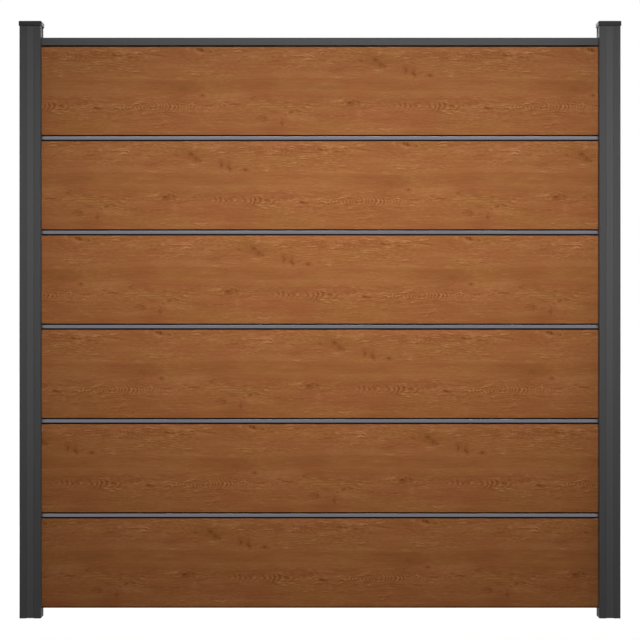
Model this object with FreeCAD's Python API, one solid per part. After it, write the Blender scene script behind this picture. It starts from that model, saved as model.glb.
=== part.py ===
# Privacy fence panel: two slotted posts hold a stack of tongue-and-groove boards.
# Millimetres. X runs along the fence, -Y is the front and +Z is up.
# The origin is on the ground, midway between the posts.

import FreeCAD
import Part
import math
import os

Vector = FreeCAD.Vector

# Boards: hollow extruded planks, set back above and below their faces, with a tongue and a groove
BOARD_COUNT = 6
BOARD_LENGTH = 1800.0
BOARD_THICKNESS = 20.0
BOARD_FACE_HEIGHT = 281.0
BOARD_NECK_HEIGHT = 5.4
BOARD_LIP_HEIGHT = 4.4
BOARD_WALL = 2.5
BOARD_CHAMBER_COUNT = 7
BOARD_EDGE_RADIUS = 0.8
TONGUE_THICKNESS = 6.0
TONGUE_HEIGHT = 7.0
TONGUE_CHAMFER = 1.0
TONGUE_SIDE_CLEARANCE = 0.2
TONGUE_END_CLEARANCE = 0.4
GROUND_GAP = 30.0

# Joint strips: extrusions that grip a tongue, with a narrow face plate on a stem on each side
STRIP_HEIGHT = 10.2
STRIP_FACE_RECESS = 0.5
STRIP_FACE_PLATE = 1.6
STRIP_FACE_RADIUS = 0.5
STRIP_STEM = 2.0
STRIP_WALL = 1.8
STRIP_FIN = 1.6

# Top rail: a box extrusion that sits on the top board's neck and takes its tongue
RAIL_HEIGHT = 24.0
RAIL_CHANNEL_CLEARANCE = 0.3
RAIL_WEB = 1.8
RAIL_EDGE_RADIUS = 1.5

# Posts: square extrusions with the same channel on all four sides
POST_SIZE = 68.0
POST_WALL = 2.0
POST_CORNER_RADIUS = 3.0
POST_HEAD_SPACE = 17.2
CHANNEL_DEPTH = 17.0
CHANNEL_LIP_RADIUS = 0.5
BOARD_EXPANSION_GAP = 5.0
SNAP_GROOVE_OFFSET = 5.0
SNAP_GROOVE_WIDTH = 2.0
SNAP_GROOVE_DEPTH = 0.8
SNAP_CLEARANCE = 0.2

# Channel covers: strips on two barbed legs that snap into an unused channel
COVER_PLATE = 1.6
COVER_LEG = 1.4
COVER_LEG_TAIL = 1.6
COVER_SIDE_GAP = 0.25
COVER_RECESS = 0.4
COVER_EDGE_CHAMFER = 0.5
COVER_END_GAP = 1.0

# Gaskets: rubber strips that fill the channel on both sides of the boards
GASKET_THICKNESS = 2.0
GASKET_SETBACK = 1.0
GASKET_DEPTH = 9.0

# Post caps: a plate with a skirt outside the post and pegs in its corner chambers
CAP_PLATE = 3.0
CAP_SKIRT_HEIGHT = 11.0
CAP_SKIRT_WALL = 2.2
CAP_FIT_CLEARANCE = 0.3
CAP_TOP_RADIUS = 2.0
CAP_PEG_LENGTH = 22.0
CAP_PEG_WALL = 2.0
CAP_PEG_CLEARANCE = 0.2

# Support blocks: open-bottomed spacers that stand in the channels under the bottom board
BLOCK_CLEARANCE = 0.3
BLOCK_SETBACK = 0.5
BLOCK_WALL = 2.5
BLOCK_EDGE_CHAMFER = 0.6

# Rail brackets: angles on the channel floor that hold the rail ends down
BRACKET_THICKNESS = 2.0
BRACKET_HEIGHT = 30.0
BRACKET_SIDE_GAP = 2.0
BRACKET_SETBACK = 3.0
BRACKET_BEND_RADIUS = 1.0
BRACKET_SCREW_SHARE = 0.6

# Bracket screws: pan-head self-tapping screws with a cross recess
SCREW_RADIUS = 2.1
SCREW_LENGTH = 13.0
SCREW_TIP_LENGTH = 3.0
SCREW_HEAD_RADIUS = 4.0
SCREW_HEAD_HEIGHT = 2.4
SCREW_DRIVE_WIDTH = 1.0
SCREW_DRIVE_LENGTH = 4.6
SCREW_DRIVE_DEPTH = 1.4
SCREW_HOLE_CLEARANCE = 0.2
SCREW_PILOT_CLEARANCE = 0.05

# Cuts run past the material by this much
OVERRUN = 1.0

# Sizes that follow from the ones above
BOARD_HALF = BOARD_THICKNESS / 2
TONGUE_HALF = TONGUE_THICKNESS / 2
GROOVE_HALF = TONGUE_HALF + TONGUE_SIDE_CLEARANCE
GROOVE_DEPTH = TONGUE_HEIGHT + TONGUE_END_CLEARANCE
NECK_HALF = GROOVE_HALF + BOARD_WALL
BOARD_HEIGHT = BOARD_LIP_HEIGHT + BOARD_FACE_HEIGHT + BOARD_NECK_HEIGHT
BOARD_PITCH = BOARD_HEIGHT + STRIP_HEIGHT
STACK_TOP = GROUND_GAP + BOARD_COUNT * BOARD_PITCH - STRIP_HEIGHT
RAIL_TOP = STACK_TOP + RAIL_HEIGHT
POST_LENGTH = RAIL_TOP + BRACKET_HEIGHT + POST_HEAD_SPACE
POST_HALF = POST_SIZE / 2
CHANNEL_HALF = BOARD_HALF + GASKET_THICKNESS
CHANNEL_FLOOR = POST_HALF - CHANNEL_DEPTH
BOARD_ENGAGEMENT = CHANNEL_DEPTH - BOARD_EXPANSION_GAP
POST_CENTRE = BOARD_LENGTH / 2 - BOARD_ENGAGEMENT + POST_HALF
RAIL_HALF = CHANNEL_HALF - RAIL_CHANNEL_CLEARANCE
SNAP_OUTER = POST_HALF - SNAP_GROOVE_OFFSET
SNAP_INNER = SNAP_OUTER - SNAP_GROOVE_WIDTH


def across_x(point):
    """A profile point (u, v) of a piece that runs along X: u is Y and v is Z."""
    return Vector(0, point.x, point.y)


def across_z(point):
    """A profile point (u, v) of a piece that runs along Z: u is X and v is Y."""
    return Vector(point.x, point.y, 0)


def corner_points(before, corner, after):
    """An outline corner's own point, or the start, middle and end of the arc that rounds it."""
    here = Vector(corner[0], corner[1], 0)
    if len(corner) == 2:
        return [here]
    radius = corner[2]
    back = (Vector(before[0], before[1], 0) - here).normalize()
    ahead = (Vector(after[0], after[1], 0) - here).normalize()
    half_angle = back.getAngle(ahead) / 2
    bisector = (back + ahead).normalize()
    centre = here + bisector * (radius / math.sin(half_angle))
    setback = radius / math.tan(half_angle)
    return [here + back * setback, centre - bisector * radius, here + ahead * setback]


def outline(corners, lift):
    """A flat face inside corners (u, v) or (u, v, radius), lifted into its plane."""
    count = len(corners)
    rounded = [
        [lift(p) for p in corner_points(corners[i - 1], corners[i], corners[(i + 1) % count])]
        for i in range(count)
    ]
    edges = []
    for i, points in enumerate(rounded):
        if len(points) > 1:
            edges.append(Part.Arc(*points).toShape())
        edges.append(Part.LineSegment(points[-1], rounded[(i + 1) % count][0]).toShape())
    return Part.Face(Part.Wire(edges))


def box_outline(u_low, v_low, u_high, v_high, lift):
    """A flat rectangle between two corners."""
    return outline([(u_low, v_low), (u_high, v_low), (u_high, v_high), (u_low, v_high)], lift)


def mirrored(right_side):
    """Corners of a symmetrical outline, from those of its right half, listed upwards."""
    left_side = [(-corner[0], *corner[1:]) for corner in reversed(right_side)]
    return right_side + left_side


def quarter_turns(shape):
    """The shape and its copies at the other three quarter turns about Z."""
    return [shape.rotated(Vector(), Vector(0, 0, 1), 90 * turn) for turn in range(4)]


def board_profile():
    """Board section: faces, ribs between chambers, a tongue on a neck above and a lipped groove below."""
    sill = BOARD_LIP_HEIGHT
    shoulder = sill + BOARD_FACE_HEIGHT
    tip = BOARD_HEIGHT + TONGUE_HEIGHT
    body = outline(
        mirrored([
            (GROOVE_HALF, GROOVE_DEPTH),
            (GROOVE_HALF, 0),
            (NECK_HALF, 0),
            (NECK_HALF, sill),
            (BOARD_HALF, sill, BOARD_EDGE_RADIUS),
            (BOARD_HALF, shoulder, BOARD_EDGE_RADIUS),
            (NECK_HALF, shoulder),
            (NECK_HALF, BOARD_HEIGHT),
            (TONGUE_HALF, BOARD_HEIGHT),
            (TONGUE_HALF, tip - TONGUE_CHAMFER),
            (TONGUE_HALF - TONGUE_CHAMFER, tip),
        ]),
        across_x,
    )
    inner_half = BOARD_HALF - BOARD_WALL
    neck_inner_half = NECK_HALF - BOARD_WALL
    lowest = GROOVE_DEPTH + BOARD_WALL
    step = (shoulder - lowest) / BOARD_CHAMBER_COUNT
    floors = [lowest + i * step for i in range(BOARD_CHAMBER_COUNT)]
    chambers = [
        box_outline(-inner_half, floor, inner_half, floor + step - BOARD_WALL, across_x)
        for floor in floors[:-1]
    ]
    top_chamber = outline(
        mirrored([
            (inner_half, floors[-1]),
            (inner_half, shoulder - BOARD_WALL),
            (neck_inner_half, shoulder - BOARD_WALL),
            (neck_inner_half, BOARD_HEIGHT - BOARD_WALL),
        ]),
        across_x,
    )
    return body.cut([*chambers, top_chamber]).Faces[0]


def strip_profile():
    """Joint strip section: a core that grips the lower tongue, stemmed face plates and an upper tongue."""
    core_half = GROOVE_HALF + STRIP_WALL
    face = BOARD_HALF - STRIP_FACE_RECESS
    back = face - STRIP_FACE_PLATE
    stem_low = (STRIP_HEIGHT - STRIP_STEM) / 2
    stem_high = stem_low + STRIP_STEM
    tip = STRIP_HEIGHT + TONGUE_HEIGHT
    slot_floor = GROOVE_DEPTH + STRIP_WALL
    slot_half = TONGUE_HALF - STRIP_FIN
    return outline(
        mirrored([
            (GROOVE_HALF, GROOVE_DEPTH),
            (GROOVE_HALF, 0),
            (core_half, 0),
            (core_half, stem_low),
            (back, stem_low),
            (back, 0),
            (face, 0, STRIP_FACE_RADIUS),
            (face, STRIP_HEIGHT, STRIP_FACE_RADIUS),
            (back, STRIP_HEIGHT),
            (back, stem_high),
            (core_half, stem_high),
            (core_half, STRIP_HEIGHT),
            (TONGUE_HALF, STRIP_HEIGHT),
            (TONGUE_HALF, tip),
            (slot_half, tip),
            (slot_half, slot_floor),
        ]),
        across_x,
    )


def rail_profile():
    """Top rail section: a box with a seat on the board's neck and a groove for its tongue."""
    body = outline(
        mirrored([
            (GROOVE_HALF, GROOVE_DEPTH),
            (GROOVE_HALF, 0),
            (RAIL_HALF, 0),
            (RAIL_HALF, RAIL_HEIGHT, RAIL_EDGE_RADIUS),
        ]),
        across_x,
    )
    chamber = outline(
        mirrored([
            (GROOVE_HALF + RAIL_WEB, GROOVE_DEPTH + RAIL_WEB),
            (GROOVE_HALF + RAIL_WEB, RAIL_WEB),
            (RAIL_HALF - RAIL_WEB, RAIL_WEB),
            (RAIL_HALF - RAIL_WEB, RAIL_HEIGHT - RAIL_WEB),
        ]),
        across_x,
    )
    return body.cut(chamber).Faces[0]


def post_profile():
    """Post section: four channels with snap grooves, four corner chambers and a core between them."""
    groove_wall = CHANNEL_HALF + SNAP_GROOVE_DEPTH
    lip_side = [
        (CHANNEL_FLOOR, CHANNEL_HALF),
        (SNAP_INNER, CHANNEL_HALF),
        (SNAP_INNER, groove_wall),
        (SNAP_OUTER, groove_wall),
        (SNAP_OUTER, CHANNEL_HALF),
        (POST_HALF, CHANNEL_HALF, CHANNEL_LIP_RADIUS),
    ]
    other_side = [(corner[1], corner[0], *corner[2:]) for corner in reversed(lip_side)]
    quarter = lip_side + [(POST_HALF, POST_HALF, POST_CORNER_RADIUS)] + other_side
    corners = list(quarter)
    for _ in range(3):
        quarter = [(-corner[1], corner[0], *corner[2:]) for corner in quarter]
        corners += quarter
    corner_block = box_outline(CHANNEL_HALF, CHANNEL_HALF, POST_HALF, POST_HALF, across_z)
    core_half = CHANNEL_FLOOR - POST_WALL
    core = box_outline(-core_half, -core_half, core_half, core_half, across_z)
    core = core.cut(quarter_turns(corner_block)).Faces[0]
    chamber_low = CHANNEL_HALF + POST_WALL
    chamber_high = POST_HALF - POST_WALL
    chamber = box_outline(chamber_low, chamber_low, chamber_high, chamber_high, across_z)
    return outline(corners, across_z).cut([core, *quarter_turns(chamber)]).Faces[0]


def cover_profile():
    """Cover section for the channel on the -Y side: a face plate and two barbed legs."""
    plate_half = CHANNEL_HALF - COVER_SIDE_GAP
    leg_half = plate_half - COVER_LEG
    barb_half = CHANNEL_HALF + SNAP_GROOVE_DEPTH - SNAP_CLEARANCE
    face = -POST_HALF + COVER_RECESS
    barb_low = -SNAP_OUTER + SNAP_CLEARANCE
    barb_high = -SNAP_INNER - SNAP_CLEARANCE
    tail = barb_high + COVER_LEG_TAIL
    return outline(
        mirrored([
            (plate_half - COVER_EDGE_CHAMFER, face),
            (plate_half, face + COVER_EDGE_CHAMFER),
            (plate_half, barb_low),
            (barb_half, barb_low),
            (plate_half, barb_high),
            (plate_half, tail),
            (leg_half, tail),
            (leg_half, face + COVER_PLATE),
        ]),
        across_z,
    )


def gasket_profile():
    """Gasket section on the front wall of the -X channel: a round nose and a rib in the snap groove."""
    wall = -CHANNEL_HALF
    board_face = -BOARD_HALF
    rib = wall - SNAP_GROOVE_DEPTH + SNAP_CLEARANCE
    nose = -POST_HALF + GASKET_SETBACK
    tail = nose + GASKET_DEPTH
    rib_low = -SNAP_OUTER + SNAP_CLEARANCE
    rib_high = -SNAP_INNER - SNAP_CLEARANCE
    nose_radius = GASKET_THICKNESS / 2 - SNAP_CLEARANCE
    return outline(
        [
            (nose, wall, nose_radius),
            (rib_low, wall),
            (rib_low, rib),
            (rib_high, rib),
            (rib_high, wall),
            (tail, wall),
            (tail, board_face),
            (nose, board_face, nose_radius),
        ],
        across_z,
    )


def make_run(profile, level):
    """A board, strip or rail: its section carried along X, centred, at a level."""
    run = profile.extrude(Vector(BOARD_LENGTH, 0, 0))
    return run.translated(Vector(-BOARD_LENGTH / 2, 0, level))


def make_upright(profile, low, high):
    """A post, cover or gasket of the right-hand post: its section carried up from one level to another."""
    upright = profile.extrude(Vector(0, 0, high - low))
    return upright.translated(Vector(POST_CENTRE, 0, low))


def screw_axis():
    """Where the right bracket's screw passes through the channel floor, pointing into the post along X."""
    return Vector(POST_CENTRE - CHANNEL_FLOOR, 0, RAIL_TOP + BRACKET_HEIGHT * BRACKET_SCREW_SHARE)


def screw_hole(clearance):
    """A round cutter on the screw's axis, through the bracket and the channel floor."""
    reach = BRACKET_THICKNESS + OVERRUN
    depth = reach + POST_WALL + OVERRUN
    start = screw_axis() - Vector(reach, 0, 0)
    return Part.makeCylinder(SCREW_RADIUS + clearance, depth, start, Vector(1, 0, 0))


def make_post():
    """Right-hand post, drilled for the bracket's screw."""
    return make_upright(post_profile(), 0, POST_LENGTH).cut(screw_hole(SCREW_PILOT_CLEARANCE))


def make_cap():
    """Right-hand post cap: a rounded plate and skirt, with a hollow peg for each corner chamber."""
    inner_half = POST_HALF + CAP_FIT_CLEARANCE
    inner_radius = POST_CORNER_RADIUS + CAP_FIT_CLEARANCE
    outer_half = inner_half + CAP_SKIRT_WALL
    outer_radius = inner_radius + CAP_SKIRT_WALL

    def rounded_square(half, radius):
        return outline(
            [(half, -half, radius), (half, half, radius), (-half, half, radius), (-half, -half, radius)],
            across_z,
        )

    height = CAP_SKIRT_HEIGHT + CAP_PLATE
    cap = rounded_square(outer_half, outer_radius).extrude(Vector(0, 0, height))
    rim = [edge for edge in cap.Edges if edge.BoundBox.ZMin > CAP_SKIRT_HEIGHT]
    cap = cap.makeFillet(CAP_TOP_RADIUS, rim)
    cap = cap.cut(rounded_square(inner_half, inner_radius).extrude(Vector(0, 0, CAP_SKIRT_HEIGHT)))
    low = CHANNEL_HALF + POST_WALL + CAP_PEG_CLEARANCE
    high = POST_HALF - POST_WALL - CAP_PEG_CLEARANCE
    peg = box_outline(low, low, high, high, across_z)
    bore = box_outline(
        low + CAP_PEG_WALL, low + CAP_PEG_WALL, high - CAP_PEG_WALL, high - CAP_PEG_WALL, across_z
    )
    peg = peg.cut(bore).Faces[0].extrude(Vector(0, 0, CAP_PEG_LENGTH))
    peg = peg.translated(Vector(0, 0, CAP_SKIRT_HEIGHT - CAP_PEG_LENGTH))
    cap = cap.fuse(quarter_turns(peg)).removeSplitter()
    return cap.translated(Vector(POST_CENTRE, 0, POST_LENGTH - CAP_SKIRT_HEIGHT)).Solids[0]


def make_block():
    """Right-hand support block: a moulded box, open below, that fills the channel's foot."""
    half = CHANNEL_HALF - BLOCK_CLEARANCE
    front = -POST_HALF + BLOCK_SETBACK
    back = -CHANNEL_FLOOR - BLOCK_CLEARANCE
    shell = box_outline(front, -half, back, half, across_z).extrude(Vector(0, 0, GROUND_GAP))
    top_rim = [edge for edge in shell.Edges if edge.BoundBox.ZMin > GROUND_GAP - BLOCK_EDGE_CHAMFER]
    shell = shell.makeChamfer(BLOCK_EDGE_CHAMFER, top_rim)
    web_half = BLOCK_WALL / 2
    pocket_height = GROUND_GAP - BLOCK_WALL
    for side in (-1, 1):
        pocket = box_outline(
            front + BLOCK_WALL, side * web_half, back - BLOCK_WALL, side * (half - BLOCK_WALL), across_z
        )
        shell = shell.cut(pocket.extrude(Vector(0, 0, pocket_height)))
    return shell.translated(Vector(POST_CENTRE, 0, 0)).Solids[0]


def make_bracket():
    """Right-hand rail bracket: one leg on the channel floor, the other on the rail's end."""
    floor = POST_CENTRE - CHANNEL_FLOOR
    toe = POST_CENTRE - POST_HALF + BRACKET_SETBACK
    half = CHANNEL_HALF - BRACKET_SIDE_GAP
    top = RAIL_TOP + BRACKET_HEIGHT
    heel_radius = BRACKET_BEND_RADIUS + BRACKET_THICKNESS

    def across_y(point):
        return Vector(point.x, -half, point.y)

    section = outline(
        [
            (toe, RAIL_TOP),
            (floor, RAIL_TOP, heel_radius),
            (floor, top),
            (floor - BRACKET_THICKNESS, top),
            (floor - BRACKET_THICKNESS, RAIL_TOP + BRACKET_THICKNESS, BRACKET_BEND_RADIUS),
            (toe, RAIL_TOP + BRACKET_THICKNESS),
        ],
        across_y,
    )
    bracket = section.extrude(Vector(0, 2 * half, 0))
    return bracket.cut(screw_hole(SCREW_HOLE_CLEARANCE)).Solids[0]


def make_screw():
    """Right-hand bracket screw: a turned pan head, shank and point, with a cross recess."""
    head_base = SCREW_HEAD_HEIGHT
    shank_end = head_base + SCREW_LENGTH - SCREW_TIP_LENGTH
    crown = SCREW_HEAD_HEIGHT / 2
    section = outline(
        [
            (0, 0),
            (SCREW_HEAD_RADIUS, 0, crown),
            (SCREW_HEAD_RADIUS, head_base),
            (SCREW_RADIUS, head_base),
            (SCREW_RADIUS, shank_end),
            (0, head_base + SCREW_LENGTH),
        ],
        lambda point: Vector(point.y, point.x, 0),
    )
    screw = section.revolve(Vector(), Vector(1, 0, 0), 360)
    slot = Part.makeBox(
        SCREW_DRIVE_DEPTH + OVERRUN,
        SCREW_DRIVE_LENGTH,
        SCREW_DRIVE_WIDTH,
        Vector(-OVERRUN, -SCREW_DRIVE_LENGTH / 2, -SCREW_DRIVE_WIDTH / 2),
    )
    cross_slot = slot.rotated(Vector(), Vector(1, 0, 0), 90)
    screw = screw.cut([slot, cross_slot])
    seat = Vector(SCREW_HEAD_HEIGHT + BRACKET_THICKNESS, 0, 0)
    return screw.translated(screw_axis() - seat).Solids[0]


def left_of(shape):
    """The left-hand twin of a right-hand piece."""
    return shape.mirror(Vector(), Vector(1, 0, 0))


def rear_of(shape):
    """The rear twin of a front piece."""
    return shape.mirror(Vector(), Vector(0, 1, 0))


def make_pieces():
    """Every piece of the panel, by name."""
    pieces = {}
    board = board_profile()
    strip = strip_profile()
    for i in range(BOARD_COUNT):
        level = GROUND_GAP + i * BOARD_PITCH
        pieces[f"board_{i + 1}"] = make_run(board, level)
        if i < BOARD_COUNT - 1:
            pieces[f"joint_strip_{i + 1}"] = make_run(strip, level + BOARD_HEIGHT)
    pieces["top_rail"] = make_run(rail_profile(), STACK_TOP)

    cover = make_upright(cover_profile(), COVER_END_GAP, POST_LENGTH - COVER_END_GAP)
    gasket = make_upright(gasket_profile(), GROUND_GAP, STACK_TOP)
    right_side = {
        "post": make_post(),
        "post_cap": make_cap(),
        "front_cover": cover,
        "rear_cover": rear_of(cover),
        "front_gasket": gasket,
        "rear_gasket": rear_of(gasket),
        "support_block": make_block(),
        "rail_bracket": make_bracket(),
    }
    for name, shape in right_side.items():
        pieces[f"right_{name}"] = shape
        pieces[f"left_{name}"] = left_of(shape)
    screw = make_screw()
    pieces["bracket_screws"] = Part.makeCompound([screw, left_of(screw)])
    return pieces


os.makedirs("parts", exist_ok=True)
for name, shape in make_pieces().items():
    shape.exportStep(f"parts/{name}.step")
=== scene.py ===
import math

import bpy
import numpy as np
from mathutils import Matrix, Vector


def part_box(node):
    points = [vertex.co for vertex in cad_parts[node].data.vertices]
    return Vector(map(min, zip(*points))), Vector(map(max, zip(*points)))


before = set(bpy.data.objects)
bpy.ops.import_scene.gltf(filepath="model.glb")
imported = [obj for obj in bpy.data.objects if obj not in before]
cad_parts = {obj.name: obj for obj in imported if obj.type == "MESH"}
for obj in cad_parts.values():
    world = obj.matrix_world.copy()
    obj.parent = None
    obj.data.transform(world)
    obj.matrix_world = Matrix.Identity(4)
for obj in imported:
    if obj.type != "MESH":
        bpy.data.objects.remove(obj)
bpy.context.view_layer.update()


# Posts: two square aluminium extrusions with a channel in each side, sawn to length and
# coated with anthracite powder, which bakes to a satin skin with a fine, even grain. They
# stand on their footings and hold everything else between them.
POST_GREY = (0.0850, 0.0843, 0.0860)
POST_DRAW = (60.0, 60.0, 1.2)        # streaks per metre across and along the extrusion
DRAW_MOTTLE = 0.20                   # how much the streaks vary the colour
POWDER_GRAINS = 900.0                # grains per metre
POWDER_MOTTLE = 0.16                 # how much the grains vary the colour
POWDER_ROUGHNESS = 0.58
POWDER_GLOSS_SWING = 0.2             # and the gloss
POWDER_SHINE = 0.05
POWDER_PEEL = 0.00006                # height of the skin's grain, in metres


def feed(tree, socket, value):
    """Links an output to the socket, or writes a plain number, vector or colour into it."""
    if isinstance(value, bpy.types.NodeSocket):
        tree.links.new(value, socket)
    elif socket.type == "RGBA":
        socket.default_value = (*value, 1.0)
    else:
        socket.default_value = value


def add(tree, kind, inputs, **settings):
    """A node of that kind, with its settings, and its inputs by socket name or number."""
    node = tree.nodes.new("ShaderNode" + kind)
    for name, value in settings.items():
        setattr(node, name, value)
    for key, value in inputs.items():
        feed(tree, node.inputs[key], value)
    return node


def maths(tree, operation, *values):
    """One sum over the surface: the operation on one, two or three numbers or outputs."""
    return add(tree, "Math", dict(enumerate(values)), operation=operation).outputs[0]


def stretched(tree, vector, scales):
    """The place multiplied axis by axis, so that a pattern is long where the scale is small."""
    return add(tree, "VectorMath", {0: vector, 1: scales}, operation="MULTIPLY").outputs[0]


def noise(tree, vector, detail=2.0):
    """Soft noise from 0 to 1 whose cells are one unit of the vector wide."""
    return add(tree, "TexNoise", {"Vector": vector, "Scale": 1.0, "Detail": detail}).outputs[0]


def swing(tree, value, amount, middle=0.0):
    """Noise turned from its 0 to 1 into middle plus or minus half the amount."""
    return maths(tree, "MULTIPLY_ADD", value, amount, middle - amount / 2)


def tinted(tree, colour, share):
    """The colour times one plus the share, in all three channels alike."""
    factor = maths(tree, "ADD", share, 1.0)
    return add(tree, "VectorMath", {0: colour, "Scale": factor}, operation="SCALE").outputs[0]


def effect(name, inputs, outputs):
    """An empty shader group with named sockets: its tree, its input node and its output node."""
    tree = bpy.data.node_groups.new(name, "ShaderNodeTree")
    for label, kind in inputs.items():
        tree.interface.new_socket(label, in_out="INPUT", socket_type="NodeSocket" + kind)
    for label, kind in outputs.items():
        tree.interface.new_socket(label, in_out="OUTPUT", socket_type="NodeSocket" + kind)
    return tree, tree.nodes.new("NodeGroupInput"), tree.nodes.new("NodeGroupOutput")


def finish(name, **constants):
    """A new material: its tree, its shader with the constants set, and the place on the piece."""
    material = bpy.data.materials.new(name)
    material.use_nodes = True
    tree = material.node_tree
    shader = tree.nodes["Principled BSDF"]
    for label, value in constants.items():
        shader.inputs[label.replace("_", " ")].default_value = value
    place = tree.nodes.new("ShaderNodeTexCoord").outputs["Object"]
    return material, tree, shader, place


def raised(tree, shader, height, distance):
    """Gives the shader the slopes of a height pattern that is that many metres deep."""
    bump = add(tree, "Bump", {"Height": height, "Distance": distance, "Strength": 1.0})
    feed(tree, shader.inputs["Normal"], bump.outputs["Normal"])


def coat(material, *nodes):
    """Puts a material on CAD nodes in place of their plain one."""
    for node in nodes:
        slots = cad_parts[node].data.materials
        slots.clear()
        slots.append(material)


def powder_skin():
    """Powder coat: grains of a millimetre and faint draw streaks under them vary the colour by a
    few percent, the grains vary the gloss and stand a few hundredths of a millimetre high."""
    tree, given, result = effect(
        "powder_skin",
        {"Place": "Vector", "Colour": "Color", "Draw": "Vector"},
        {"Color": "Color", "Roughness": "Float", "Height": "Float"},
    )
    place = given.outputs["Place"]
    grains = noise(tree, stretched(tree, place, (POWDER_GRAINS,) * 3), detail=1.0)
    streaks = noise(tree, stretched(tree, place, given.outputs["Draw"]), detail=3.0)
    share = maths(tree, "ADD", swing(tree, grains, POWDER_MOTTLE), swing(tree, streaks, DRAW_MOTTLE))
    feed(tree, result.inputs["Color"], tinted(tree, given.outputs["Colour"], share))
    feed(tree, result.inputs["Roughness"], swing(tree, grains, POWDER_GLOSS_SWING, POWDER_ROUGHNESS))
    feed(tree, result.inputs["Height"], grains)
    return tree


POWDER_SKIN = powder_skin()


def powder_coat(name, colour, draw):
    """A powder-coated finish in that colour, with its streaks along the extrusion."""
    material, tree, shader, place = finish(name, Specular_IOR_Level=POWDER_SHINE)
    inputs = {"Place": place, "Colour": colour, "Draw": draw}
    skin = add(tree, "Group", inputs, node_tree=POWDER_SKIN)
    feed(tree, shader.inputs["Base Color"], skin.outputs["Color"])
    feed(tree, shader.inputs["Roughness"], skin.outputs["Roughness"])
    raised(tree, shader, skin.outputs["Height"], POWDER_PEEL)
    return material


coat(powder_coat("post_coat", POST_GREY, POST_DRAW), "left_post", "right_post")


# Channel covers: thin aluminium strips, extruded with two sprung legs and powder-coated in
# their own batch, a little lighter than the posts. They snap into the front and rear channels.
COVER_GREY = (0.1000, 0.0993, 0.1006)
COVERS = ("left_front_cover", "right_front_cover", "left_rear_cover", "right_rear_cover")

coat(powder_coat("cover_coat", COVER_GREY, POST_DRAW), *COVERS)


# Support blocks: black nylon spacers, injection-moulded with a fine spark texture. They drop
# into the channels and carry the bottom board clear of the ground.
BLOCK_BLACK = (0.018, 0.018, 0.019)
SPARK_PITS = 1400.0                  # pits per metre
SPARK_DEPTH = 0.00005
# painted shade: how much darker the colour is at the bottoms of the pits
SPARK_PIT_SHADE = 0.25
SPARK_ROUGHNESS = 0.6
SPARK_GLOSS_SWING = 0.15
FLOW_CLOUDS = 30.0                   # clouds per metre
FLOW_MOTTLE = 0.15
BLOCK_SHINE = 0.2
BLOCKS = ("left_support_block", "right_support_block")


def moulded_grain():
    """Spark-eroded mould texture: round pits of under a millimetre, from cell noise, dull the colour
    and darken it at their bottoms as painted shade, over a slow cloud from the plastic's flow."""
    tree, given, result = effect(
        "moulded_grain",
        {"Place": "Vector", "Colour": "Color"},
        {"Color": "Color", "Roughness": "Float", "Height": "Float"},
    )
    place = given.outputs["Place"]
    scaled = stretched(tree, place, (SPARK_PITS,) * 3)
    cells = add(tree, "TexVoronoi", {"Vector": scaled, "Scale": 1.0}, feature="SMOOTH_F1")
    pits = cells.outputs["Distance"]
    flow = noise(tree, stretched(tree, place, (FLOW_CLOUDS,) * 3))
    share = maths(tree, "ADD", swing(tree, pits, SPARK_PIT_SHADE), swing(tree, flow, FLOW_MOTTLE))
    feed(tree, result.inputs["Color"], tinted(tree, given.outputs["Colour"], share))
    feed(tree, result.inputs["Roughness"], swing(tree, pits, SPARK_GLOSS_SWING, SPARK_ROUGHNESS))
    feed(tree, result.inputs["Height"], pits)
    return tree


MOULDED_GRAIN = moulded_grain()


def moulded_plastic(name, colour, shine):
    """A moulded finish in that colour."""
    material, tree, shader, place = finish(name, Specular_IOR_Level=shine)
    grain = add(tree, "Group", {"Place": place, "Colour": colour}, node_tree=MOULDED_GRAIN)
    feed(tree, shader.inputs["Base Color"], grain.outputs["Color"])
    feed(tree, shader.inputs["Roughness"], grain.outputs["Roughness"])
    raised(tree, shader, grain.outputs["Height"], SPARK_DEPTH)
    return material


coat(moulded_plastic("block_plastic", BLOCK_BLACK, BLOCK_SHINE), *BLOCKS)


# Gaskets: soft black rubber strips, extruded and pushed in between the board ends and the
# lips of the channels, where they stop rattle and take up the boards' growth in the heat.
RUBBER_BLACK = (0.014, 0.014, 0.014)
RUBBER_LINES = (700.0, 700.0, 4.0)   # die lines per metre, along the strip
RUBBER_LINE_DEPTH = 0.00004
RUBBER_MOTTLE = 0.5
RUBBER_ROUGHNESS = 0.75
RUBBER_GLOSS_SWING = 0.2
RUBBER_SHINE = 0.15
GASKETS = ("left_front_gasket", "left_rear_gasket", "right_front_gasket", "right_rear_gasket")

material, tree, shader, place = finish("gasket_rubber", Specular_IOR_Level=RUBBER_SHINE)
lines = noise(tree, stretched(tree, place, RUBBER_LINES))
rubber = tinted(tree, RUBBER_BLACK, swing(tree, lines, RUBBER_MOTTLE))
feed(tree, shader.inputs["Base Color"], rubber)
feed(tree, shader.inputs["Roughness"], swing(tree, lines, RUBBER_GLOSS_SWING, RUBBER_ROUGHNESS))
raised(tree, shader, lines, RUBBER_LINE_DEPTH)
coat(material, *GASKETS)


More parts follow.
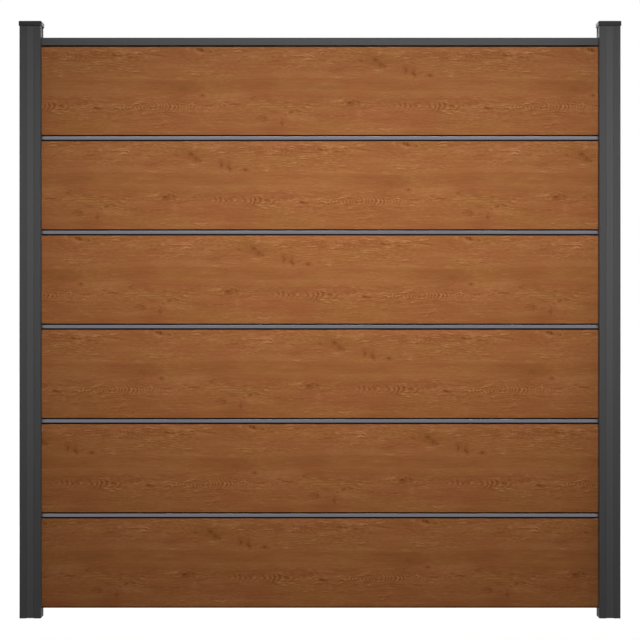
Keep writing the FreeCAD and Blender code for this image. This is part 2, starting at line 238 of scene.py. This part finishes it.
# Boards: hollow dark brown tongue-and-groove extrusions, their faces wrapped in film that is
# printed with knotty golden oak. Each is cut from another place on the roll, so the same knots
# turn up on every board. They slide down between the posts, edge over edge.
PRINT_LENGTH = 1.246                 # the print repeats after this length
PRINT_END = 1.03                     # the joint of the repeat, at a plain place
PRINT_HEIGHT = 0.281
PRINT_AT_MIDDLE = 1.021              # print that lies in the middle of an unshifted board
FACE_FOOT = 0.0044                   # the lip that a board's face stands above
BOARD_SHIFTS = {
    "board_1": 0.527,
    "board_2": 1.079,
    "board_3": 0.131,
    "board_4": 0.389,
    "board_5": 0.589,
    "board_6": 0.0,
}
OAK_DARK = (0.162, 0.0445, 0.0104)
OAK_BROWN = (0.330, 0.122, 0.0385)
OAK_GOLD = (0.480, 0.210, 0.089)
OAK_TONES = 0.30                     # the tone, either way, at which the print is darkest or lightest
FILM_SHINE = 0.04
FILM_ROUGHNESS = 0.48
# where a board is thin, the film gives way to its bare core, painted near black: partly the core's own
# brown, partly painted shade in the recessed edges and gaps
FILM_EDGE = 0.0088                   # the film ends where a board is less than twice this thick
BARE_CORE_AND_SHADE_BROWN = (0.022, 0.013, 0.010)
PORE_SIZE = (0.0120, 0.0007)         # length and height of the pores, and what they do to the film
PORE_DEPTH = 0.00008
PORE_TONE = 0.08
PORE_GLOSS_SWING = 0.12
# Knots and pale marks: along, up, half length, half height, turn in degrees, tone
OAK_MARKS = (
    (-0.045, 0.238, 0.011, 0.007, -45, -0.13),
    (-0.032, 0.227, 0.009, 0.006, -45, -0.13),
    (-0.016, 0.220, 0.006, 0.004, 0, -0.08),
    (-0.048, 0.232, 0.038, 0.024, -20, -0.03),
    (-0.040, 0.206, 0.014, 0.004, -10, 0.24),
    (-0.038, 0.258, 0.011, 0.005, 20, 0.20),
    (-0.095, 0.243, 0.007, 0.009, 0, -0.09),
    (-0.129, 0.103, 0.016, 0.008, 0, -0.15),
    (-0.104, 0.104, 0.005, 0.011, 0, -0.07),
    (-0.168, 0.108, 0.022, 0.005, 0, 0.05),
    (-0.100, 0.060, 0.012, 0.022, 0, 0.07),
    (0.049, 0.207, 0.005, 0.010, 12, -0.12),
    (0.075, 0.198, 0.006, 0.012, 8, -0.12),
    (0.126, 0.189, 0.012, 0.005, -5, -0.12),
    (0.195, 0.194, 0.010, 0.009, 0, 0.12),
    (0.024, 0.256, 0.026, 0.012, 0, 0.11),
    (0.165, 0.252, 0.026, 0.014, 0, -0.06),
    (0.215, 0.250, 0.022, 0.018, 0, 0.06),
    (0.312, 0.087, 0.017, 0.004, -12, -0.10),
    (0.392, 0.265, 0.024, 0.008, 0, 0.13),
    (0.374, 0.254, 0.014, 0.003, -15, -0.11),
    (0.402, 0.254, 0.011, 0.003, 20, -0.08),
    (0.390, 0.246, 0.016, 0.004, 0, 0.12),
    (0.500, 0.254, 0.034, 0.002, -2, -0.09),
    (0.490, 0.248, 0.042, 0.005, -2, 0.10),
    (0.520, 0.258, 0.030, 0.003, 0, 0.08),
    (0.610, 0.147, 0.054, 0.022, 10, -0.05),
    (0.645, 0.128, 0.009, 0.006, 0, -0.12),
    (0.638, 0.272, 0.021, 0.007, -10, -0.13),
    (0.662, 0.279, 0.006, 0.004, 0, 0.14),
    (0.672, 0.266, 0.006, 0.004, 0, -0.14),
    (0.650, 0.259, 0.015, 0.003, 0, 0.10),
    (0.664, 0.094, 0.022, 0.003, 0, -0.13),
    (0.740, 0.096, 0.036, 0.003, 10, -0.14),
    (0.720, 0.111, 0.046, 0.005, 8, 0.07),
    (0.808, 0.119, 0.010, 0.004, 30, -0.10),
    (0.837, 0.054, 0.018, 0.010, -8, -0.10),
    (0.845, 0.098, 0.018, 0.008, 0, 0.06),
    (0.930, 0.071, 0.016, 0.005, 25, -0.12),
    (0.915, 0.072, 0.008, 0.006, 0, 0.10),
    (0.936, 0.052, 0.012, 0.010, 20, 0.06),
    (0.902, 0.040, 0.006, 0.012, 0, -0.07),
    (0.931, 0.265, 0.012, 0.005, 0, 0.11),
    (1.000, 0.263, 0.012, 0.004, 0, 0.09),
)
KNOT_TONE = -0.11                    # a mark as dark as this is a knot, and the grain goes round it
KNOT_REACH = 2.2                     # how far round a knot the grain bends, in its half sizes
KNOT_PUSH = 0.8
KNOT_RINGS = 5.5                     # turns the rings' wave, in radians per half size
KNOT_RING_TONE = -0.05
# Chains of arches, open to the left where lean is above zero: along, up, half length, half height,
# pitch, lean, tone
OAK_ARCHES = (
    (0.125, 0.092, 0.095, 0.010, 0.0185, 0.9, 0.14),
    (0.420, 0.088, 0.065, 0.011, 0.0118, -0.7, 0.10),
    (0.560, 0.092, 0.080, 0.012, 0.0112, 0.6, 0.10),
    (0.240, 0.252, 0.070, 0.010, 0.0125, 0.5, 0.05),
)
ARCH_ROUNDING = 0.002                # how blunt an arch is at its top
ARCH_SWAY_SIZE = (0.036, 0.030)      # noise that makes the pitch unsteady, and how far, in radians
ARCH_SWAY = 12.0
ARCH_PATCH_SIZE = (0.028, 0.060)     # noise that makes some arches of a chain faint
ARCH_PATCHES = 4.0
# Bands across the width: share of the height, tone, liveliness of the fine grain
OAK_BANDS = (
    (0.00, -0.014, 0.6),
    (0.17, -0.020, 0.6),
    (0.27, 0.008, 1.2),
    (0.36, -0.016, 1.4),
    (0.45, 0.012, 0.6),
    (0.55, -0.020, 0.4),
    (0.625, -0.022, 0.4),
    (0.645, 0.034, 0.7),
    (0.74, 0.010, 0.9),
    (0.88, -0.004, 1.3),
    (0.985, 0.014, 1.2),
    (1.00, 0.018, 1.1),
)
# Streaks with the grain, from clouds to lines: length, height, detail, tone
OAK_STREAKS = (
    (0.110, 0.0340, 2.0, 0.19),
    (0.420, 0.0160, 3.0, 0.16),
    (0.160, 0.0062, 2.0, 0.14),
)
# Fine grain, as lively as its band: length, height, detail, tone
OAK_GRAIN = (
    (0.055, 0.0036, 2.0, 0.15),
    (0.015, 0.0044, 1.0, 0.20),
)
LIVELY_SIZE = (0.12, 0.05)           # noise by which the fine grain comes and goes along its band
LIVELY_SWING = 6.0
LIVELY_LEAST = 0.2
FLECK_SIZE = (0.0080, 0.0042)        # length and height of the dots that break up marks and arches
FLECK_SWING = 3.2
PALE_DASH_SIZE = (0.0360, 0.0036)
PALE_DASH_SHARE = 0.58               # noise above this is a pale dash
PALE_DASH_TONE = 1.1
# painted shadow: a dark dash this far under each pale dash, as if the pale dashes stood up in light from
# above
DASH_SHADOW_DROP = 0.0036             # a dark dash lies this far under each pale one
DASH_SHADOW_TONE = -0.4
DASH_CURL = 0.016                    # how far the dashes wander up and down
DASH_CURL_SIZE = (0.024, 0.020)
FRAY_SIZE = (0.030, 0.012)           # noise that frays the marks along the board, and how far
FRAY = 0.020
WANDER_SIZE = (0.050, 0.016)         # noise that shifts them across it, from another level
WANDER_LEVEL = 0.4
WANDER = 0.014
WAVE_SIZE = (0.30, 0.11)             # noise on which the whole grain rises and falls
WAVE = 0.030
HUE_SIZE = (0.150, 0.045)            # noise that makes some places redder and others yellower
HUE_SWING = 0.022


def oak_print():
    """Knotty oak as printed on film. The place along the print is wrapped to one repeat for the
    marks, and bent into a circle for the noise, so that neither shows a joint. Noise stretched
    along the board makes streaks, fine grain, pores and pale dashes, with a dark dash under each
    pale one as a painted shadow, as if the pale dashes stood up in light from above. Marks are
    bell curves of the distance in their own axes, firmer where they are dark, and the darkest are
    knots, which have rings and push the grain aside. Chains of arches are waves of the place along
    plus lean times the distance from their centre line. Flecks break up marks and arches, and fine
    grain is livelier in some bands. All tones add up and pick a colour."""
    tree, given, result = effect(
        "oak_print",
        {"Place": "Vector"},
        {"Color": "Color", "Roughness": "Float", "Height": "Float"},
    )
    axes = add(tree, "SeparateXYZ", {0: given.outputs["Place"]})
    along, up = axes.outputs["X"], axes.outputs["Z"]
    turn = maths(tree, "MULTIPLY", along, math.tau / PRINT_LENGTH)
    east, north = maths(tree, "COSINE", turn), maths(tree, "SINE", turn)

    def fibres(level, length, height, detail=2.0):
        """Noise of that length along the board and that height across it, without a joint."""
        radius = PRINT_LENGTH / (math.tau * length)
        bent = add(tree, "CombineXYZ", {"X": east, "Y": north, "Z": level}).outputs[0]
        return noise(tree, stretched(tree, bent, (radius, radius, 1.0 / height)), detail)

    fray = swing(tree, fibres(up, *FRAY_SIZE), FRAY)
    wander = swing(tree, fibres(maths(tree, "ADD", up, WANDER_LEVEL), *WANDER_SIZE), WANDER)
    wrapped = maths(tree, "WRAP", along, PRINT_END, PRINT_END - PRINT_LENGTH)
    place_along = maths(tree, "ADD", wrapped, fray)
    place_up = maths(tree, "ADD", up, wander)
    place = add(tree, "CombineXYZ", {"X": place_along, "Z": place_up}).outputs[0]

    def apart(centre, size, degrees=0.0):
        """The square of the distance from the centre, in half sizes along the mark's own axes."""
        inputs = {
            "Vector": place,
            "Location": (centre[0], 0.0, centre[1]),
            "Rotation": (0.0, -math.radians(degrees), 0.0),
            "Scale": (size[0], 1.0, size[1]),
        }
        own = add(tree, "Mapping", inputs, vector_type="TEXTURE").outputs[0]
        return add(tree, "VectorMath", {0: own, 1: own}, operation="DOT_PRODUCT").outputs["Value"]

    def bell(square, reach=1.0):
        """A bell curve of a squared distance, one at the middle, with that half width."""
        return maths(tree, "EXPONENT", maths(tree, "MULTIPLY", square, -1.0 / reach ** 2))

    waves = swing(tree, fibres(up, *WAVE_SIZE, detail=1.0), WAVE)
    level = maths(tree, "ADD", up, waves)
    figure = 0.0
    for mark_along, mark_up, length, height, degrees, strength in OAK_MARKS:
        square = apart((mark_along, mark_up), (length, height), degrees)
        firm = maths(tree, "MULTIPLY", square, square) if strength < 0.0 else square
        figure = maths(tree, "MULTIPLY_ADD", bell(firm), strength, figure)
        if strength <= KNOT_TONE:
            around = bell(square, KNOT_REACH)
            aside = maths(tree, "SUBTRACT", mark_up, up)
            pushed = maths(tree, "MULTIPLY", around, KNOT_PUSH)
            level = maths(tree, "MULTIPLY_ADD", aside, pushed, level)
            ring_angle = maths(tree, "MULTIPLY", maths(tree, "SQRT", square), KNOT_RINGS)
            rings = maths(tree, "MULTIPLY", maths(tree, "SINE", ring_angle), KNOT_RING_TONE)
            figure = maths(tree, "MULTIPLY_ADD", rings, around, figure)

    sway = swing(tree, fibres(up, *ARCH_SWAY_SIZE), ARCH_SWAY)
    patches = swing(tree, fibres(up, *ARCH_PATCH_SIZE, detail=1.0), ARCH_PATCHES, 1.0)
    for arch_along, arch_up, length, height, pitch, lean, strength in OAK_ARCHES:
        aside = maths(tree, "SUBTRACT", place_up, arch_up)
        rounded = maths(tree, "SQRT", maths(tree, "MULTIPLY_ADD", aside, aside, ARCH_ROUNDING ** 2))
        reach = maths(tree, "MULTIPLY_ADD", rounded, lean, wrapped)
        phase = maths(tree, "MULTIPLY_ADD", reach, math.tau / pitch, sway)
        window = bell(apart((arch_along, arch_up), (length, height)))
        window = maths(tree, "MULTIPLY", window, patches)
        wave = maths(tree, "MULTIPLY", maths(tree, "SINE", phase), strength)
        figure = maths(tree, "MULTIPLY_ADD", wave, window, figure)
    flecks = fibres(up, *FLECK_SIZE, detail=1.0)
    tone = maths(tree, "MULTIPLY", figure, swing(tree, flecks, FLECK_SWING, 1.0))

    bands = add(tree, "ValToRGB", {0: maths(tree, "DIVIDE", level, PRINT_HEIGHT)})
    ramp = bands.color_ramp.elements
    while len(ramp) < len(OAK_BANDS):
        ramp.new(1.0)
    for stop, (share, strength, liveliness) in zip(ramp, OAK_BANDS):
        stop.position = share
        stop.color = (0.5 + strength, liveliness / 2, 0.0, 1.0)
    band = add(tree, "SeparateColor", {0: bands.outputs["Color"]})
    tone = maths(tree, "ADD", tone, maths(tree, "SUBTRACT", band.outputs["Red"], 0.5))

    for length, height, detail, strength in OAK_STREAKS:
        tone = maths(tree, "ADD", tone, swing(tree, fibres(level, length, height, detail), strength))
    livelier = swing(tree, fibres(up, *LIVELY_SIZE), LIVELY_SWING, 2.0)
    lively = maths(tree, "MULTIPLY", band.outputs["Green"], livelier)
    lively = maths(tree, "MAXIMUM", lively, LIVELY_LEAST)
    for length, height, detail, strength in OAK_GRAIN:
        grain = swing(tree, fibres(level, length, height, detail), strength)
        tone = maths(tree, "MULTIPLY_ADD", grain, lively, tone)
    curled = maths(tree, "ADD", level, swing(tree, fibres(up, *DASH_CURL_SIZE), DASH_CURL))
    # painted shadow under each pale dash, one drop lower
    under = maths(tree, "ADD", curled, DASH_SHADOW_DROP)
    for dash_level, strength in ((curled, PALE_DASH_TONE), (under, DASH_SHADOW_TONE)):
        dashes = maths(tree, "SUBTRACT", fibres(dash_level, *PALE_DASH_SIZE, detail=1.0), PALE_DASH_SHARE)
        dashes = maths(tree, "MULTIPLY", maths(tree, "MAXIMUM", dashes, 0.0), strength)
        tone = maths(tree, "MULTIPLY_ADD", dashes, lively, tone)
    pores = fibres(level, *PORE_SIZE, detail=1.0)
    tone = maths(tree, "ADD", tone, swing(tree, pores, PORE_TONE))

    share = maths(tree, "MULTIPLY_ADD", tone, 0.5 / OAK_TONES, 0.5)
    shades = add(tree, "ValToRGB", {0: share})
    ramp = shades.color_ramp.elements
    ramp.new(0.5)
    for stop, colour in zip(ramp, (OAK_DARK, OAK_BROWN, OAK_GOLD)):
        stop.color = (*colour, 1.0)
    hue = swing(tree, fibres(up, *HUE_SIZE), HUE_SWING, 0.5)
    warmed = add(tree, "HueSaturation", {"Hue": hue, "Color": shades.outputs["Color"]})
    feed(tree, result.inputs["Color"], warmed.outputs["Color"])
    feed(tree, result.inputs["Roughness"], swing(tree, pores, PORE_GLOSS_SWING, FILM_ROUGHNESS))
    feed(tree, result.inputs["Height"], pores)
    return tree


OAK_PRINT = oak_print()


def oak_film(name, shift, foot):
    """One board: the print moved along by its shift and up to its face, and where it is thin the bare
    core, painted near black as painted shade in its set-back edges.
    """
    material, tree, shader, place = finish(name, Specular_IOR_Level=FILM_SHINE)
    start = (PRINT_AT_MIDDLE + shift, 0.0, -foot)
    own = add(tree, "Mapping", {"Vector": place, "Location": start}).outputs[0]
    film = add(tree, "Group", {"Place": own}, node_tree=OAK_PRINT)
    # painted shade: the bare core on the thin, set-back edges is made near black
    through = maths(tree, "ABSOLUTE", add(tree, "SeparateXYZ", {0: place}).outputs["Y"])
    film_else_core_shade = maths(tree, "GREATER_THAN", through, FILM_EDGE)
    inputs = {"Fac": film_else_core_shade, "Color1": BARE_CORE_AND_SHADE_BROWN, "Color2": film.outputs["Color"]}
    feed(tree, shader.inputs["Base Color"], add(tree, "MixRGB", inputs).outputs["Color"])
    feed(tree, shader.inputs["Roughness"], film.outputs["Roughness"])
    raised(tree, shader, film.outputs["Height"], PORE_DEPTH)
    return material


for board, shift in BOARD_SHIFTS.items():
    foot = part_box(board)[0].z + FACE_FOOT
    coat(oak_film(board + "_film", shift, foot), board)


# Joint strips: aluminium extrusions with a flat face and a fin each way, anodised grey. Each
# one sits on the tongue of the board below and takes the groove of the board above.
STRIP_GREY = (0.157, 0.156, 0.178)
STRIP_LINES = (1.5, 500.0, 500.0)    # draw lines per metre, along the strip
STRIP_LINE_DEPTH = 0.000002
STRIP_MOTTLE = 0.3
STRIP_ROUGHNESS = 0.29
STRIP_GLOSS_SWING = 0.1
STRIPS = tuple(f"joint_strip_{number}" for number in range(1, 6))

material, tree, shader, place = finish("strip_aluminium", Metallic=1.0)
lines = noise(tree, stretched(tree, place, STRIP_LINES), detail=3.0)
anodised = tinted(tree, STRIP_GREY, swing(tree, lines, STRIP_MOTTLE))
feed(tree, shader.inputs["Base Color"], anodised)
feed(tree, shader.inputs["Roughness"], swing(tree, lines, STRIP_GLOSS_SWING, STRIP_ROUGHNESS))
raised(tree, shader, lines, STRIP_LINE_DEPTH)
coat(material, *STRIPS)


# Top rail: an aluminium channel over the tongue of the top board, powder-coated like the
# posts. It keeps the rain out of the board and is held down by a bracket at each end.
RAIL_GREY = (0.0930, 0.0932, 0.0948)
RAIL_DRAW = (1.2, 60.0, 60.0)

coat(powder_coat("rail_coat", RAIL_GREY, RAIL_DRAW), "top_rail")


# Rail brackets and their screws: folded steel angles and cross-recessed screws, both bright
# zinc-plated, which dries to a faint crystal bloom. They hold the rail and the boards down.
ZINC = (0.52, 0.53, 0.55)
ZINC_BLOOM = 260.0                   # crystals per metre
ZINC_MOTTLE = 0.25
ZINC_ROUGHNESS = 0.38
ZINC_GLOSS_SWING = 0.25

material, tree, shader, place = finish("zinc_steel", Metallic=1.0)
scaled = stretched(tree, place, (ZINC_BLOOM,) * 3)
bloom = add(tree, "TexVoronoi", {"Vector": scaled, "Scale": 1.0}).outputs["Distance"]
feed(tree, shader.inputs["Base Color"], tinted(tree, ZINC, swing(tree, bloom, ZINC_MOTTLE)))
feed(tree, shader.inputs["Roughness"], swing(tree, bloom, ZINC_GLOSS_SWING, ZINC_ROUGHNESS))
coat(material, "left_rail_bracket", "right_rail_bracket", "bracket_screws")


# Post caps: flat moulded covers in dark grey plastic, with pegs that press into the posts'
# corner chambers. They close the posts against rain.
CAP_GREY = (0.047, 0.047, 0.048)
CAP_SHINE = 0.06

coat(moulded_plastic("cap_plastic", CAP_GREY, CAP_SHINE), "left_post_cap", "right_post_cap")


# Studio: a plain white floor and room, one broad soft lamp high in front, one behind for the
# back, a weak one at each side, and a camera straight in front at half the panel's height.
FLOOR_HALF = 30.0
FLOOR_DROP = 0.0005                  # keeps the floor just clear of the posts' ends
FLOOR_GREY = (0.4, 0.4, 0.4)
FLOOR_NEAR = 4.0                     # the floor shows shadows about this far from the panel
FLOOR_SHADE = 0.14                   # how much darker than white it is there, where no lamp reaches
ROOM_LIGHT = 0.19
KEY_PLACE = (0.25, -2.97, 3.37)
KEY_AIM = (0.11, 0.0, 1.15)
KEY_SIZE = (2.28, 0.88)
KEY_SPREAD = math.radians(40.0)
KEY_WATTS = 11.7
BACK_PLACE = (-0.6, 3.2, 2.6)
BACK_AIM = (0.0, 0.0, 0.9)
BACK_SIZE = (2.5, 1.2)
BACK_WATTS = 70.0
SIDE_PLACES = {"right_lamp": (4.0, -0.9, 1.5), "left_lamp": (-4.0, 0.9, 1.5)}
SIDE_SIZE = (0.8, 1.6)
SIDE_WATTS = 14.0
CAMERA_PLACE = (0.0, -6.534, 0.949)
CAMERA_LENS = 115.0
CAMERA_SENSOR = 36.0


def seen(tree):
    """One for rays that the camera, a reflection or glass looks along, and zero for light."""
    path = tree.nodes.new("ShaderNodeLightPath").outputs
    either = maths(tree, "MAXIMUM", path["Is Camera Ray"], path["Is Glossy Ray"])
    return maths(tree, "MAXIMUM", either, path["Is Transmission Ray"])


def floor_sheet():
    """A flat square: two parameters from minus one to one times the half size, at one height."""
    across, away = np.meshgrid((-1.0, 1.0), (-1.0, 1.0))
    flat = np.full(across.shape, -FLOOR_DROP)
    points = np.stack([across * FLOOR_HALF, away * FLOOR_HALF, flat], -1).reshape(-1, 3)
    mesh = bpy.data.meshes.new("floor")
    mesh.from_pydata(points.tolist(), [], [(0, 1, 3, 2)])
    return bpy.data.objects.new("floor", mesh)


floor = floor_sheet()
bpy.context.scene.collection.objects.link(floor)
material = bpy.data.materials.new("floor_white")
material.use_nodes = True
tree = material.node_tree
paint = add(tree, "BsdfDiffuse", {"Color": FLOOR_GREY})
place = stretched(tree, tree.nodes.new("ShaderNodeTexCoord").outputs["Object"], (1.0 / FLOOR_NEAR,) * 3)
square = add(tree, "VectorMath", {0: place, 1: place}, operation="DOT_PRODUCT").outputs["Value"]
near = maths(tree, "EXPONENT", maths(tree, "MULTIPLY", square, -1.0))
white = maths(tree, "MULTIPLY_ADD", near, -FLOOR_SHADE, 1.0)
glow = add(tree, "Emission", {"Strength": maths(tree, "MULTIPLY", seen(tree), white)})
both = add(tree, "AddShader", {0: paint.outputs[0], 1: glow.outputs[0]})
feed(tree, tree.nodes["Material Output"].inputs["Surface"], both.outputs[0])
floor.data.materials.append(material)

room = bpy.data.worlds.new("room")
room.use_nodes = True
tree = room.node_tree
strength = maths(tree, "MULTIPLY_ADD", seen(tree), 1.0 - ROOM_LIGHT, ROOM_LIGHT)
feed(tree, tree.nodes["Background"].inputs["Strength"], strength)
feed(tree, tree.nodes["Background"].inputs["Color"], (1.0, 1.0, 1.0))
bpy.context.scene.world = room


def soft_lamp(name, place, aim, size, watts, spread=math.pi):
    """A rectangular lamp at the place, turned to the aim."""
    lamp = bpy.data.lights.new(name, "AREA")
    lamp.shape = "RECTANGLE"
    lamp.size, lamp.size_y = size
    lamp.energy = watts
    lamp.spread = spread
    holder = bpy.data.objects.new(name, lamp)
    holder.location = place
    way = Vector(aim) - Vector(place)
    holder.rotation_euler = way.to_track_quat("-Z", "Y").to_euler()
    holder.visible_camera = False
    bpy.context.scene.collection.objects.link(holder)


soft_lamp("key_lamp", KEY_PLACE, KEY_AIM, KEY_SIZE, KEY_WATTS, KEY_SPREAD)
soft_lamp("back_lamp", BACK_PLACE, BACK_AIM, BACK_SIZE, BACK_WATTS)
for name, side_place in SIDE_PLACES.items():
    soft_lamp(name, side_place, BACK_AIM, SIDE_SIZE, SIDE_WATTS)

lens = bpy.data.cameras.new("camera")
lens.lens = CAMERA_LENS
lens.sensor_width = CAMERA_SENSOR
camera = bpy.data.objects.new("camera", lens)
camera.location = CAMERA_PLACE
camera.rotation_euler = (math.pi / 2, 0.0, 0.0)
bpy.context.scene.collection.objects.link(camera)
bpy.context.scene.camera = camera
bpy.context.scene.view_settings.view_transform = "Standard"
